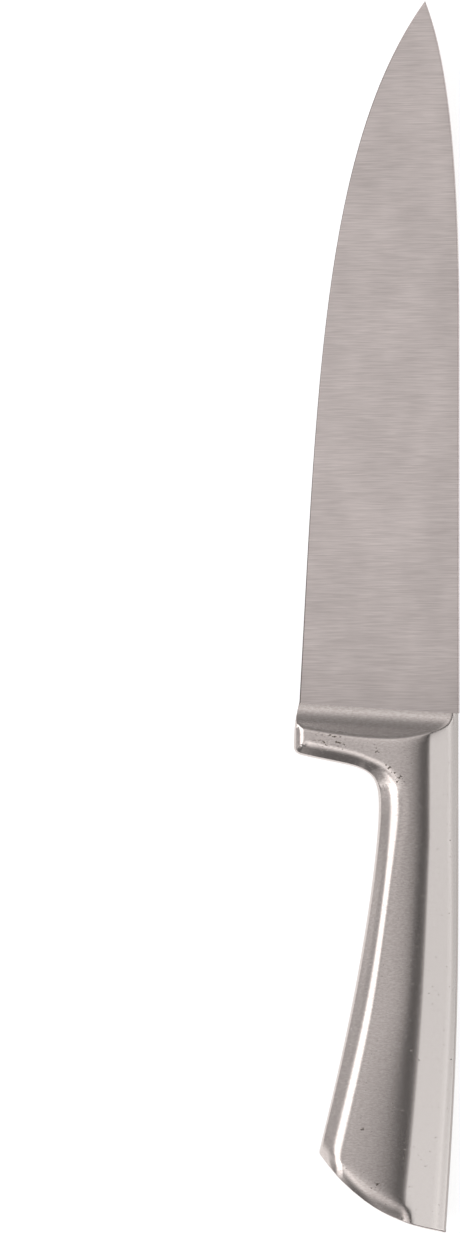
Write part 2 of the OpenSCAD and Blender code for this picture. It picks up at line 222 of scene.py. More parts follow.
# How far a normal leans to the edge tells a bevel from the side.
BEVEL_LEAN = -0.3, -0.2
TIMES = {"data_type": "RGBA", "blend_type": "MULTIPLY"}
cross_ground_steel, tree, out = new_material("cross_ground_stainless_steel")
lines = grain(tree, LINE_MM, 3)
colour = node(tree, "ShaderNodeValToRGB", Fac=lines,
              stops=[(0.3, linear("#c6bbb8")), (0.7, linear("#dbd0cd"))]).outputs[0]
patches = node(tree, "ShaderNodeValToRGB", Fac=grain(tree, PATCH_MM, 2),
               stops=[(0.35, grey(0.95)), (0.7, grey(1.05))]).outputs[0]
length_along = node(tree, "ShaderNodeSeparateXYZ",
                    Vector=node(tree, "ShaderNodeTexCoord").outputs["Object"]).outputs[1]
from_heel = node(tree, "ShaderNodeMapRange", Value=length_along,
                 From_Min=(ZERO[1] + HEEL_SHADE_FROM) * MM,
                 From_Max=(ZERO[1] + HEEL_SHADE_TO) * MM).outputs[0]
# Painted shade: the blade's colour darkens towards the bolster.
painted_heel_shade = node(tree, "ShaderNodeValToRGB", Fac=from_heel,
                  stops=[(0, grey(0.78)), (0.35, grey(0.94)), (1, grey(1))]).outputs[0]
slant = node(tree, "ShaderNodeSeparateXYZ",
             Vector=node(tree, "ShaderNodeNewGeometry").outputs["True Normal"]).outputs[0]
off_bevel = node(tree, "ShaderNodeMapRange", Value=slant, From_Min=BEVEL_LEAN[0],
                 From_Max=BEVEL_LEAN[1]).outputs[0]
# Painted shade: a bevel's colour is darkened, told by how far its normal leans to the edge.
bevel_shade = node(tree, "ShaderNodeValToRGB", Fac=off_bevel,
             stops=[(0, [0.45, 0.44, 0.44, 1]), (1, grey(1))]).outputs[0]
for shade in (patches, painted_heel_shade, bevel_shade):
    colour = node(tree, "ShaderNodeMix", TIMES, _0=1.0, _6=colour, _7=shade).outputs[2]
scratches = node(tree, "ShaderNodeBump", Strength=1, Distance=LINE_DEPTH * MM, Height=lines)
shader = node(tree, "ShaderNodeBsdfPrincipled", Base_Color=colour, Metallic=1, Roughness=0.3,
              Normal=scratches.outputs[0])
tree.links.new(shader.outputs[0], out.inputs[0])

tip, heel = np.array([-TIP_DROP, BLADE_LEN]), np.array([-HEEL_W, fillet_front(-HEEL_W)])
edge_curve = [heel, heel + HEEL_PULL * heading(HEEL_ANGLE),
              tip + TIP_PULL * heading(TIP_ANGLE - 180), tip]
spine_curve = [np.array([SPINE_PROUD, DROP_Y]),
               np.array([SPINE_PROUD, DROP_Y + DROP_START_PULL * DROP_LEN]),
               tip + DROP_TIP_PULL * DROP_LEN * heading(DROP_TIP_ANGLE), tip]
edge_line, edge_ways = curve(edge_curve, np.linspace(0, 1, 900))
spine_line, spine_ways = curve(spine_curve, np.linspace(0, 1, 400))
# Stations crowd together towards the tip. Across each, the points are the edge, the top of the
# bevel, three on the side, and the turn over the spine.
stations = 1 - np.linspace(1, 0, 140) ** 1.6
side_shares = np.array([0.25, 0.5, 0.75])
spine_turn = np.radians([0, 18, 36, 54, 72, 90])
turned = np.concatenate([np.zeros(2 + len(side_shares)), spine_turn])
plan, height = [], []
for share in stations:
    edge, edge_way = crossing(mix(heel[1], BLADE_LEN, share), edge_line, edge_ways)
    spine, spine_way = crossing(mix(FILLET_LEN, BLADE_LEN, share), spine_line, spine_ways)
    width = max(np.linalg.norm(spine - edge), 1e-6)
    way = (spine - edge) / width if width > 1e-3 else np.array([1.0, 0.0])
    to_edge = abs(way[0] * edge_way[1] - way[1] * edge_way[0])
    to_spine = abs(way[0] * spine_way[1] - way[1] * spine_way[0])
    bevel = (face_height(*edge) - EDGE_LAND / 2) / BEVEL_SLOPE / to_edge
    soft = SPINE_ROUND / to_spine
    fit = min(1, width / (bevel + soft) * 0.98)
    gone = np.concatenate([[0, bevel * fit], mix(bevel * fit, width - soft * fit, side_shares),
                           width - soft * fit * (1 - np.sin(spine_turn))])
    for from_edge, angle in zip(gone, turned):
        p = edge + way * from_edge
        z = min(face_height(*p), EDGE_LAND / 2 + BEVEL_SLOPE * from_edge * to_edge)
        plan.append(p)
        height.append(z - min(SPINE_DEPTH, 0.6 * z) * (1 - math.cos(angle)))
across_n = len(turned)
faces = [(j * across_n + i, (j + 1) * across_n + i, (j + 1) * across_n + i + 1, j * across_n + i + 1)
         for j in range(len(stations) - 1) for i in range(across_n - 1)]
parts = [both_sides(np.array(plan), np.array(height), faces)]
seat_y = heel[1] - SEAT_DEPTH
seat = np.array([[SEAT_INSET - HEEL_W, seat_y], [-SEAT_INSET, seat_y],
                 [-SEAT_INSET, fillet_front(-SEAT_INSET) + 1],
                 [SEAT_INSET - HEEL_W, fillet_front(SEAT_INSET - HEEL_W) + 1]])
parts.append(both_sides(seat, face_height(seat[:, 0], seat[:, 1]) - SEAT_STEP, [(0, 1, 2, 3)]))
tang_left, tang_right = -TANG_X - TANG_W / 2, -TANG_X + TANG_W / 2
tang_back, tang_front = seat_y - TANG_LEN, seat_y + SEAT_DEPTH / 4
tang = np.array([[tang_left, tang_back], [tang_right, tang_back],
                 [tang_right, tang_front], [tang_left, tang_front]])
parts.append(both_sides(tang, np.full(4, SPINE_T / 2), [(0, 1, 2, 3)]))
points, faces = np.zeros((0, 3)), []
for part_points, part_faces in parts:
    faces += [tuple(k + len(points) for k in f) for f in part_faces]
    points = np.concatenate([points, part_points])
add_piece("ground_blade", points, faces, cross_ground_steel, ["blade"], sharp=20)

# Bolster.
# One solid forging with the finger guard: a collar that carries the handle's side faces, its
# rim folded down and rounded, and a fillet ground hollow down to the blade. Polished satin.
GUARD_REACH, GUARD_DEPTH, GUARD_TIP_R, GUARD_SLOPE = 44.6, 4.85, 2.2, 13
GUARD_FALL, GUARD_FALL_FROM, GUARD_FALL_POWER, GUARD_FALL_FADE = 0.001, 16, 2.3, 12
JOINT_Y, NECK_W, SPINE_R = 18.2, 21.6, 2.4
FILLET_R, FILLET_STEEP, FILLET_EARLY, FILLET_PROUD = 7.3, math.radians(44), 0.1, 0.02
ARC_LIP, ARC_LIP_W, ARC_LIP_FROM, ARC_LIP_FADE, ARC_BLEND = 0.22, 1.1, 3, 8, 0.4
FACET_T, FACET_SLOPE = (0.4, 0.25), 0.44
CREASE_D, CREASE_GROWS = (7, 10.8), 0.2
# Behind the crease the side face first turns in, and then rises in a low crown. Both widths,
# and the crown's share of the rise, change over this part of the handle's length.
TURN_W, CROWN_W, CROWN_SHARE, NECK_SHARE_GROWS = (0.8, 1.6), (8.2, 17.3), (0.73, 0.68), 0.13
CROWN_GROWS_FROM, CROWN_GROWS_OVER = 0.5, 0.38
BELLY_SLOPE, BELLY_START, BELLY_TURN, BELLY_EDGE = 0.6, 5.95, 1.7, 1.2
erf = np.vectorize(math.erf)


def eased(t):
    """Smooth step from 0 to 1."""
    t = np.clip(t, 0, 1)
    return t * t * (3 - 2 * t)


def smooth_least(a, b, width):
    """The lesser of two heights, blended over a width."""
    h = np.clip(0.5 + 0.5 * (b - a) / width, 0, 1)
    return mix(b, a, h) - width * h * (1 - h)


def rounded(d, r):
    """Quarter round of radius r: 0 at the outline, 1 from depth r inwards."""
    return np.sqrt(np.maximum(0, 1 - (1 - np.clip(d / r, 0, 1)) ** 2))


def run_at(y):
    """0 where the handle's length begins, 1 at the butt."""
    return np.clip(-y / HANDLE_LEN, 0, 1)


def crease_d(s):
    """Distance of the crease from the spine."""
    return mix(*CREASE_D, np.clip((s - CREASE_GROWS) / (1 - CREASE_GROWS), 0, 1))


def side_height(d, s):
    """Half thickness at distance d from the spine: a facet, a soft crease, a crowned face."""
    grown = eased((s - CROWN_GROWS_FROM) / CROWN_GROWS_OVER)
    width, turn_in = mix(*CROWN_W, grown), mix(*TURN_W, grown)
    share = mix(CROWN_SHARE[0] + NECK_SHARE_GROWS * s, CROWN_SHARE[1], grown)
    past = np.maximum(d - crease_d(s), 0)
    turned = (1 - share) * turn_in * (1 - np.exp(-past / turn_in))
    crowned = share * width * math.sqrt(math.pi) / 2 * erf(past / width)
    return mix(*FACET_T, s) + FACET_SLOPE * (np.minimum(d, crease_d(s)) + turned + crowned)


def fold_drop(gap, start, turn_in):
    """Fold of a side face down to the rim: it begins at start and turns in over a width."""
    return smooth_least(0 * gap, BELLY_SLOPE * (gap - start), turn_in)


# Stainless steel, polished satin by hand. It mirrors softly, with a fine grain across the knife,
# drawn coarser than the real 0.1 mm lines so that it shows, over the slow waves that hand work
# leaves. On the facet along the back the colour turns even and cooler: a painted reflection.
STEEL_PALE, STEEL_DEEP, STEEL_FACET_REFLECTION, PIT_BROWN = "#d9d0cc", "#c8bdb9", "#cdc7c4", "#54493f"
GRAIN_MM, GRAIN_DEPTH, WAVE_MM, WAVE_DEPTH = (0.9, 0.35, 0.9), 0.0005, (12, 40, 12), 0.003
# How far a normal leans to the back tells the facet from the side.
FACET_LEAN, FACET_REFLECTION_SHARE = (0.35, 0.395), 0.8
PIT_MM, PIT_DEPTH, PIT_ADDS, PIT_FROM, PIT_TO = (0.75, 0.5, 0.75), 0.05, 0.22, 0.71, 0.79


def steel(name, roughness, pits=()):
    """Satin stainless steel, with pits of the given places and reaches, (x, y, z, reach)."""
    material, tree, out = new_material(name)
    fine = grain(tree, GRAIN_MM, 3)
    colour = node(tree, "ShaderNodeValToRGB", Fac=fine,
                  stops=[(0.3, linear(STEEL_DEEP)), (0.7, linear(STEEL_PALE))]).outputs[0]
    to_back = node(tree, "ShaderNodeSeparateXYZ",
                   Vector=node(tree, "ShaderNodeNewGeometry").outputs["True Normal"]).outputs[0]
    # Painted reflection: on the facet the colour is mixed towards an even, cooler tone.
    facet_reflection = node(tree, "ShaderNodeMapRange", Value=to_back, From_Min=FACET_LEAN[0],
                    From_Max=FACET_LEAN[1], To_Max=FACET_REFLECTION_SHARE).outputs[0]
    colour = node(tree, "ShaderNodeMix", {"data_type": "RGBA"}, _0=facet_reflection, _6=colour,
                  _7=linear(STEEL_FACET_REFLECTION)).outputs[2]
    waves = node(tree, "ShaderNodeBump", Strength=1, Distance=WAVE_DEPTH * MM,
                 Height=grain(tree, WAVE_MM, 1)).outputs[0]
    normal = node(tree, "ShaderNodeBump", Strength=1, Distance=GRAIN_DEPTH * MM, Height=fine,
                  Normal=waves).outputs[0]
    if pits:
        place = node(tree, "ShaderNodeTexCoord").outputs["Object"]
        near = None
        for x, y, z, reach in pits:
            away = node(tree, "ShaderNodeVectorMath", {"operation": "DISTANCE"}, _0=place,
                        _1=[(a + b) * MM for a, b in zip((x, y, z), ZERO)]).outputs["Value"]
            here = node(tree, "ShaderNodeMapRange", Value=away, From_Max=reach * MM,
                        To_Min=PIT_ADDS, To_Max=0).outputs[0]
            near = here if near is None else node(tree, "ShaderNodeMath", {"operation": "MAXIMUM"},
                                                  _0=near, _1=here).outputs[0]
        holes = node(tree, "ShaderNodeMath", {"operation": "ADD"}, _0=near,
                     _1=grain(tree, PIT_MM, 2)).outputs[0]
        holes = node(tree, "ShaderNodeMapRange", Value=holes, From_Min=PIT_FROM,
                     From_Max=PIT_TO).outputs[0]
        colour = node(tree, "ShaderNodeMix", {"data_type": "RGBA"}, _0=holes, _6=colour,
                      _7=linear(PIT_BROWN)).outputs[2]
        normal = node(tree, "ShaderNodeBump", {"invert": True}, Strength=0.6,
                      Distance=PIT_DEPTH * MM, Height=holes, Normal=normal).outputs[0]
    shader = node(tree, "ShaderNodeBsdfPrincipled", Base_Color=colour, Metallic=1,
                  Roughness=roughness, Normal=normal)
    tree.links.new(shader.outputs[0], out.inputs[0])
    return material


# The polisher has left a few pits open: beside the guard, in the finger corner and at the butt.
satin_steel = steel("satin_polished_stainless_steel", 0.19,
                    [(-36, -0.7, 4, 4.5), (-31, -0.9, 4.6, 3.5), (-21.5, -3.4, 5.3, 1.6),
                     (-15.8, -11, 5.2, 2.8), (-18, -8, 5.3, 2), (-17.1, -99.7, 7.3, 1.2),
                     (-24.8, -105, 8, 1.2), (-28.9, -115.2, 7.6, 2.2), (-20.9, -120.3, 7.6, 2.2),
                     (-16.5, -123.6, 7.4, 2)])

# The rim runs from the heel down the guard, round its tip and along the finger curve. Its fold
# is narrow on the guard, and grows along the finger curve to the belly's. A fold is where it
# starts, how wide it turns in, and the radius of its edge.
SIDE_HEEL_PULL, SIDE_TIP_PULL = np.array([1.1, 4]), np.array([0, 4.5])
CORNER_PULL, UNDER_PULL, NECK_PULL = 0.6 * GUARD_TIP_R, 17, 11.3
FOLD_GROWS_FROM, FOLD_GROWS_OVER = 0.5, 0.42
guard_tip = np.array([-GUARD_REACH, -GUARD_DEPTH / 2])
guard_under = np.array([-GUARD_REACH + GUARD_TIP_R, -GUARD_DEPTH])
neck = np.array([-NECK_W, -JOINT_Y])
side_run = [heel, heel - SIDE_HEEL_PULL, guard_tip + SIDE_TIP_PULL, guard_tip]
tip_run = [guard_tip, guard_tip - [0, CORNER_PULL],
           guard_under - CORNER_PULL * heading(-GUARD_SLOPE), guard_under]
finger_run = [guard_under, guard_under + UNDER_PULL * heading(-GUARD_SLOPE),
              neck + [0, NECK_PULL], neck]
side_fold, finger_fold = np.array([2.3, 0.6, 0.9]), np.array([3.2, 0.9, 0.7])
neck_fold = np.array([BELLY_START + 0.17, BELLY_TURN, BELLY_EDGE])
rim_points, rim_ways, rim_folds = [], [], []
for run, steps, first, last in ((side_run, 40, side_fold, side_fold),
                                (tip_run, 24, side_fold, finger_fold),
                                (finger_run, 130, finger_fold, neck_fold)):
    t = np.linspace(0, 1, steps + 1)[1 if rim_points else 0:]
    at, way = curve(run, t)
    grown = eased((t - FOLD_GROWS_FROM) / FOLD_GROWS_OVER) if run is finger_run else eased(t)
    rim_points.append(at)
    rim_ways.append(way)
    rim_folds.append(mix(first, last, grown[:, None]))
rim_points, rim_ways, rim_folds = map(np.concatenate, (rim_points, rim_ways, rim_folds))
rim_inward = np.stack([-rim_ways[:, 1], rim_ways[:, 0]], 1)


def fillet_height(x, y):
    """Height of the hollow-ground arc, which ends in a straight slope, without end behind it."""
    behind = (fillet_front(x) - y) * math.cos(FILLET_TILT) + FILLET_EARLY
    turned = np.clip(behind, 0, FILLET_R * math.sin(FILLET_STEEP))
    arc = FILLET_R - np.sqrt(FILLET_R ** 2 - turned ** 2)
    slope = (behind - turned).clip(0) * math.tan(FILLET_STEEP)
    return face_height(x, y) + FILLET_PROUD + arc + slope


def rim_gap(x, y):
    """Distance to the rim, and the fold's start, turn and edge there."""
    here = np.stack([x, y], -1)
    gap, folds = np.empty(len(here)), np.empty((len(here), 3))
    at_once = 2000
    for k in range(0, len(here), at_once):
        gaps = np.linalg.norm(here[k:k + at_once, None] - rim_points[None], axis=2)
        near = gaps.argmin(1)
        gap[k:k + at_once] = gaps[np.arange(len(near)), near]
        folds[k:k + at_once] = rim_folds[near]
    return gap, *folds.T


def body_height(x, y):
    """Half thickness of the forging before its fillet is ground. It falls towards the guard."""
    fall = (GUARD_FALL * np.maximum(-x - GUARD_FALL_FROM, 0) ** GUARD_FALL_POWER
            * eased((y + JOINT_Y) / GUARD_FALL_FADE))
    gap, start, turn_in, edge = rim_gap(x, y)
    full = side_height(-x, run_at(y)) * rounded(-x, SPINE_R) - fall
    return (full + fold_drop(gap, start, turn_in)) * rounded(gap, edge)


# Rows of points follow the rim, the spine, the crease and the top of the fillet, and a fine
# grid fills the rest.
GRID_STEP, GRID_CLEAR, GRID_LEFT, GRID_TOP = 0.4, 0.22, -43.8, 9.4
CREASE_TOP, ARC_LOWEST = 8, -3
turns = np.radians([0, 5, 12, 20, 29, 38, 48, 58, 68, 79, 90])
rim_edge = rim_folds[:, 2:]
rows = [rim_points + rim_edge * (1 - np.cos(a)) * rim_inward for a in turns]
spine_ys = np.linspace(-JOINT_Y, FILLET_LEN, 61)
rows += [np.stack([0 * spine_ys - SPINE_R * (1 - np.cos(a)), spine_ys], 1) for a in turns]
crease_ys = np.linspace(-JOINT_Y, CREASE_TOP, 90)
rows += [np.stack([-crease_d(run_at(crease_ys)) - side, crease_ys], 1) for side in (-0.15, 0, 0.15)]
top_xs = np.linspace(-GUARD_REACH, 0, 170)
top_ys = np.linspace(ARC_LOWEST, heel[1], 500)
heights = body_height(np.repeat(top_xs, len(top_ys)), np.tile(top_ys, len(top_xs)))
above = fillet_height(top_xs[:, None], top_ys[None]) > heights.reshape(len(top_xs), len(top_ys))
last_above = len(top_ys) - 1 - above[:, ::-1].argmax(1)
arc_top = np.stack([top_xs, top_ys[np.maximum(last_above, 0)]], 1)
rows += [arc_top + [0, side] for side in (-1.5, -1.05, -0.7, -0.45, -0.25, -0.1, 0, 0.1, 0.3)]


def bolster_height(x, y):
    """The polished body, rolled over a little where the fillet's arc cuts it."""
    behind = np.maximum(np.interp(x, top_xs, arc_top[:, 1]) - y, 0)
    lip = ARC_LIP * np.clip((-x - ARC_LIP_FROM) / ARC_LIP_FADE, 0, 1) * np.exp(-behind / ARC_LIP_W)
    return smooth_least(body_height(x, y) - lip, fillet_height(x, y), ARC_BLEND)


xs, ys = np.meshgrid(np.arange(GRID_LEFT, 0, GRID_STEP), np.arange(-JOINT_Y, GRID_TOP, GRID_STEP))
back_xs = np.linspace(-NECK_W, 0, 60)[1:]
front_xs = np.linspace(heel[0], 0, 110)[-2:0:-1]
outline = np.concatenate([rim_points, np.stack([back_xs, 0 * back_xs - JOINT_Y], 1),
                          np.stack([0 * spine_ys[1:], spine_ys[1:]], 1),
                          np.stack([front_xs, fillet_front(front_xs)], 1)])
placed = np.concatenate(rows)
grid = np.stack([xs.ravel(), ys.ravel()], 1)
clear = np.array([np.abs(placed - g).sum(1).min() > GRID_CLEAR for g in grid])
inner = np.concatenate([placed, grid[clear]])
inner = inner[(inner[:, 0] < -1e-4) & (inner[:, 1] > -JOINT_Y + 0.02)
              & (inner[:, 1] < fillet_front(inner[:, 0]) - 0.05)]
flat = np.concatenate([outline, inner])
ring = len(outline)
verts, _, faces, *_ = delaunay_2d_cdt([Vector(p) for p in flat.tolist()],
                                      [(k, (k + 1) % ring) for k in range(ring)], [], 1, 1e-5)
plan = np.array([v[:] for v in verts])
points, faces = both_sides(plan, bolster_height(plan[:, 0], plan[:, 1]), [tuple(f) for f in faces])
add_piece("forged_bolster", points, faces, satin_steel, ["bolster"])

# Handle shells.
# Two pressed halves of 1.2 mm sheet, each with half of the butt wall, closed by seam welds.
# The side faces run on from the bolster, and fold down to the belly and to the butt.
COLLAR_W, WALL, BEAD_HALF = 1.0, 1.2, 0.35
BUTT_SPINE_X, BUTT_BELLY_X, BUTT_SLANT = 3.4, 37.7, 21.2
BUTT_R, BUTT_START, BUTT_SLOPE, BUTT_TURN, BUTT_FADE = 0.6, 3.0, 0.54, 1.62, 3
BUTT_SPINE_PULL, BUTT_SPINE_ANGLE, BUTT_BELLY_PULL, BUTT_BELLY_ANGLE = 17, 172.8, 14.7, -49.3
NECK_BELLY_PULL, BELLY_ANGLE, RUN_PULL = 10, 75.9, 0.44
FOLD_GROWTH, TURN_GROWTH = 1.25, 0.4
FOLD_BAND, BELLY_HALF_T, LEAST_R = 9, 2.3, 0.2
shell_y = JOINT_Y + COLLAR_W
butt_end = np.array([-BUTT_SPINE_X, -HANDLE_LEN])
butt_corner = np.array([-BUTT_BELLY_X, BUTT_SLANT - HANDLE_LEN])
shell_neck = np.array([-NECK_W, -shell_y])
reach = RUN_PULL * (HANDLE_LEN - shell_y)
spine_run = [np.array([0, -shell_y]), np.array([0, -shell_y - reach]),
             np.array([0, reach - HANDLE_LEN]), butt_end]
belly_run = [shell_neck, shell_neck - [0, NECK_BELLY_PULL],
             butt_corner + reach * heading(BELLY_ANGLE), butt_corner]
butt_run = [butt_end, butt_end + BUTT_SPINE_PULL * heading(BUTT_SPINE_ANGLE),
            butt_corner + BUTT_BELLY_PULL * heading(BUTT_BELLY_ANGLE), butt_corner]


def handle_plan(u, v):
    """Point of the handle seen from the side: u from spine to belly, v from neck to butt."""
    spine, belly, butt = curve(spine_run, v)[0], curve(belly_run, v)[0], curve(butt_run, u)[0]
    u, v = np.asarray(u)[..., None], np.asarray(v)[..., None]
    return mix(spine, belly, u) + v * (butt - mix(butt_end, butt_corner, u))


spine_at = curve(spine_run, np.linspace(1, 0, 400))[0]


def from_spine(p):
    """Distance of a point from the spine, straight across."""
    return np.interp(p[..., 1], spine_at[:, 1], spine_at[:, 0]) - p[..., 0]


def round_steps(r, inset, height, steps):
    """Distances into a rounded edge. On the outer skin they start beside the seam bead."""
    start = math.asin(min(1, BEAD_HALF / height)) if not inset else 0
    return inset + (r - inset) * (1 - np.cos(np.linspace(start, math.pi / 2, steps)))


def line_across(v, inset):
    """Points and heights of one line across a shell, from spine to belly."""
    spine, belly = curve(spine_run, v)[0], curve(belly_run, v)[0]
    w, s = np.linalg.norm(spine - belly), run_at(spine[1])
    trial = np.linspace(0, w, 80)
    tried = handle_plan(trial / w, np.full(80, v))
    crease = np.interp(0, from_spine(tried) - crease_d(run_at(tried[:, 1])), trial)
    spine_part = round_steps(max(SPINE_R, inset + LEAST_R), inset, side_height(SPINE_R, s), 10)
    belly_part = w - round_steps(max(BELLY_EDGE, inset + LEAST_R), inset, BELLY_HALF_T, 8)[::-1]
    # Points crowd together behind the crease, and stay close over the fold.
    past = np.array([0, 0.12, 0.3, 0.6, 1, 1.5, 2.1, 2.8, 3.6, 4.5, 5.6, 7, 9, 12, 16, 20]) / 20
    fold_at = belly_part[0] - FOLD_BAND
    middle = crease + past * (fold_at - crease if fold_at > crease + 3 else 3)
    d = np.concatenate([spine_part, np.linspace(spine_part[-1], crease, 9)[1:-1], middle,
                        np.linspace(middle[-1], belly_part[0], 34)[1:-1], belly_part])
    p, end = handle_plan(d / w, np.full(len(d), v)), handle_plan(d / w, np.ones(len(d)))
    gap = np.linalg.norm(p - end, axis=1)
    deep = np.maximum(from_spine(p), 0)
    full = side_height(deep, run_at(p[:, 1])) * rounded(d - inset, max(SPINE_R - inset, LEAST_R))
    butt = smooth_least(0 * gap, BUTT_SLOPE * (gap - BUTT_START), BUTT_TURN)
    drop = (fold_drop(w - d, BELLY_START + FOLD_GROWTH * s, BELLY_TURN + TURN_GROWTH * s)
            + butt * eased((deep - crease_d(s)) / BUTT_FADE + 0.5))
    height = ((full + drop) * rounded(w - d - inset, BELLY_EDGE)
              * rounded(gap - inset, BUTT_R) - inset)
    return np.column_stack([p, np.maximum(height, 0)])


def handle_skin(inset):
    """Grid of points of one side, drawn in by inset. Its lines crowd together at the butt."""
    to_butt = np.concatenate([np.linspace(3 * reach, 5, 90)[:-1],
                              np.linspace(5, BUTT_R, 26)[:-1],
                              BUTT_R * (1 - np.cos(np.linspace(math.pi / 2, 0.1, 10)))])
    return np.array([line_across(1 - gap / (3 * reach), inset) for gap in np.maximum(to_butt, inset)])


def walled(outer, inner):
    """Closed wall between two grids of points."""
    n, m = outer.shape[:2]

    def at(j, i, layer):
        return layer * n * m + j * m + i

    made = []
    for j in range(n - 1):
        for i in range(m - 1):
            made.append((at(j, i, 0), at(j, i + 1, 0), at(j + 1, i + 1, 0), at(j + 1, i, 0)))
            made.append((at(j, i, 1), at(j + 1, i, 1), at(j + 1, i + 1, 1), at(j, i + 1, 1)))
    rim = ([(0, i) for i in range(m)] + [(j, m - 1) for j in range(1, n)]
           + [(n - 1, i) for i in range(m - 2, -1, -1)] + [(j, 0) for j in range(n - 2, 0, -1)])
    for (j, i), (k, l) in zip(rim, rim[1:] + rim[:1]):
        made.append((at(k, l, 0), at(j, i, 0), at(j, i, 1), at(k, l, 1)))
    return np.concatenate([outer.reshape(-1, 3), inner.reshape(-1, 3)]), made


points, faces = walled(handle_skin(0), handle_skin(WALL))
for name, side in (("handle_shell_upper", 1), ("handle_shell_lower", -1)):
    add_piece("pressed_" + name, points * [1, 1, side], faces, satin_steel, [name])

# Collar weld.
# A ring of stainless weld metal that fills the gap between the bolster and both shells and
# joins them. It is ground flush with its neighbours, so nothing shows where it is.
collar_crease = crease_d(run_at(-JOINT_Y))
ring_d = np.concatenate([SPINE_R * (1 - np.cos(np.linspace(0, math.pi / 2, 12))),
                         np.linspace(SPINE_R, collar_crease, 8)[1:-1],
                         np.linspace(collar_crease, NECK_W - BELLY_EDGE, 50),
                         NECK_W - BELLY_EDGE * (1 - np.cos(np.linspace(math.pi / 2, 0, 16)))[1:]])


def neck_ring(y, inset):
    """Points round the neck at y, drawn in by inset."""
    d = inset + ring_d * (NECK_W - 2 * inset) / NECK_W
    full = side_height(d, run_at(y)) * rounded(d - inset, max(SPINE_R - inset, LEAST_R))
    fold = fold_drop(NECK_W - d, BELLY_START + FOLD_GROWTH * run_at(y), BELLY_TURN)
    height = (full + fold) * rounded(NECK_W - d - inset, BELLY_EDGE) - inset
    half = np.column_stack([-d, 0 * d + y, np.maximum(height, 0)])
    return np.concatenate([half, (half * [1, 1, -1])[::-1][1:-1]])


def tube(rings):
    """Closed surface through rings of points that are each closed, and back to the first."""
    n, m = len(rings), len(rings[0])
    made = [(j * m + i, j * m + (i + 1) % m, (j + 1) % n * m + (i + 1) % m, (j + 1) % n * m + i)
            for j in range(n) for i in range(m)]
    return np.concatenate(rings), made


# Weld metal of the same stainless steel, ground flush and polished satin with the handle.
weld_steel = steel("ground_flush_weld_steel", 0.2)
points, faces = tube([neck_ring(-JOINT_Y, 0), neck_ring(-JOINT_Y - COLLAR_W / 2, 0),
                      neck_ring(-shell_y, 0), neck_ring(-shell_y, WALL), neck_ring(-JOINT_Y, WALL)])
add_piece("flush_collar_weld", points, faces, weld_steel, ["collar_weld"])

# Seam welds.
# A bead of weld metal closes the two shells along the spine, round the butt and along the
# belly, ground to a low crown that is flush with the skin. The tang's beads are out of sight.
BEAD_DEPTH, SPINE_CROWN, BELLY_CROWN, BUTT_CROWN, BEAD_STEPS = 0.8, 0.45, 0.02, 0.1, 80

bead_tree = bpy.data.node_groups.new("ground_seam_bead", "GeometryNodeTree")
sockets = {label: bead_tree.interface.new_socket(label, in_out="INPUT", socket_type=kind).identifier
           for label, kind in (("Path", "NodeSocketGeometry"), ("Bead Width", "NodeSocketFloat"),
                               ("Crown", "NodeSocketFloat"), ("Root", "NodeSocketFloat"))}
bead_tree.interface.new_socket("Bead", in_out="OUTPUT", socket_type="NodeSocketGeometry")
given = node(bead_tree, "NodeGroupInput").outputs
path = node(bead_tree, "GeometryNodeMeshToCurve", _0=given["Path"]).outputs[0]
path = node(bead_tree, "GeometryNodeSetCurveNormal", {"mode": "Z_UP"}, Curve=path).outputs[0]
section = node(bead_tree, "GeometryNodeCurvePrimitiveQuadrilateral", {"mode": "KITE"},
               _0=given["Bead Width"], Bottom_Height=given["Root"], Top_Height=given["Crown"])
section = node(bead_tree, "GeometryNodeTransform", Geometry=section.outputs[0],
               Rotation=(0, 0, math.radians(90))).outputs[0]
bead = node(bead_tree, "GeometryNodeCurveToMesh", Curve=path, Profile_Curve=section, Fill_Caps=True)
bead = node(bead_tree, "GeometryNodeRealizeInstances", Geometry=bead.outputs[0])
bead = node(bead_tree, "GeometryNodeSetMaterial", Geometry=bead.outputs[0], Material=weld_steel)
node(bead_tree, "NodeGroupOutput", Bead=bead.outputs[0])

for name, run, crown in (("spine_seam", spine_run, SPINE_CROWN), ("butt_seam", butt_run, BUTT_CROWN),
                         ("belly_seam", belly_run[::-1], BELLY_CROWN)):
    at, way = curve(run, np.linspace(0, 1, BEAD_STEPS + 1))
    line = np.column_stack([at + crown * np.stack([way[:, 1], -way[:, 0]], 1), 0 * at[:, 0]])
    guide = bpy.data.meshes.new(name + "_line")
    guide.from_pydata(((line + ZERO) * MM).tolist(), [(k, k + 1) for k in range(BEAD_STEPS)], [])
    carrier = bpy.data.objects.new(name + "_line", guide)
    bpy.context.scene.collection.objects.link(carrier)
    modifier = carrier.modifiers.new("bead", "NODES")
    modifier.node_group = bead_tree
    for label, size in (("Bead Width", 2 * BEAD_HALF), ("Crown", crown), ("Root", BEAD_DEPTH - crown)):
        modifier[sockets[label]] = size * MM
    made = bpy.data.meshes.new_from_object(
        carrier.evaluated_get(bpy.context.evaluated_depsgraph_get()))
    bpy.data.objects.remove(carrier)
    add_piece("ground_" + name, np.array([v.co[:] for v in made.vertices]) / MM - ZERO,
              [tuple(f.vertices) for f in made.polygons], weld_steel,
              [name + "_weld"], sharp=60)
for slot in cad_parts["tang_welds"].material_slots:
    slot.material = weld_steel

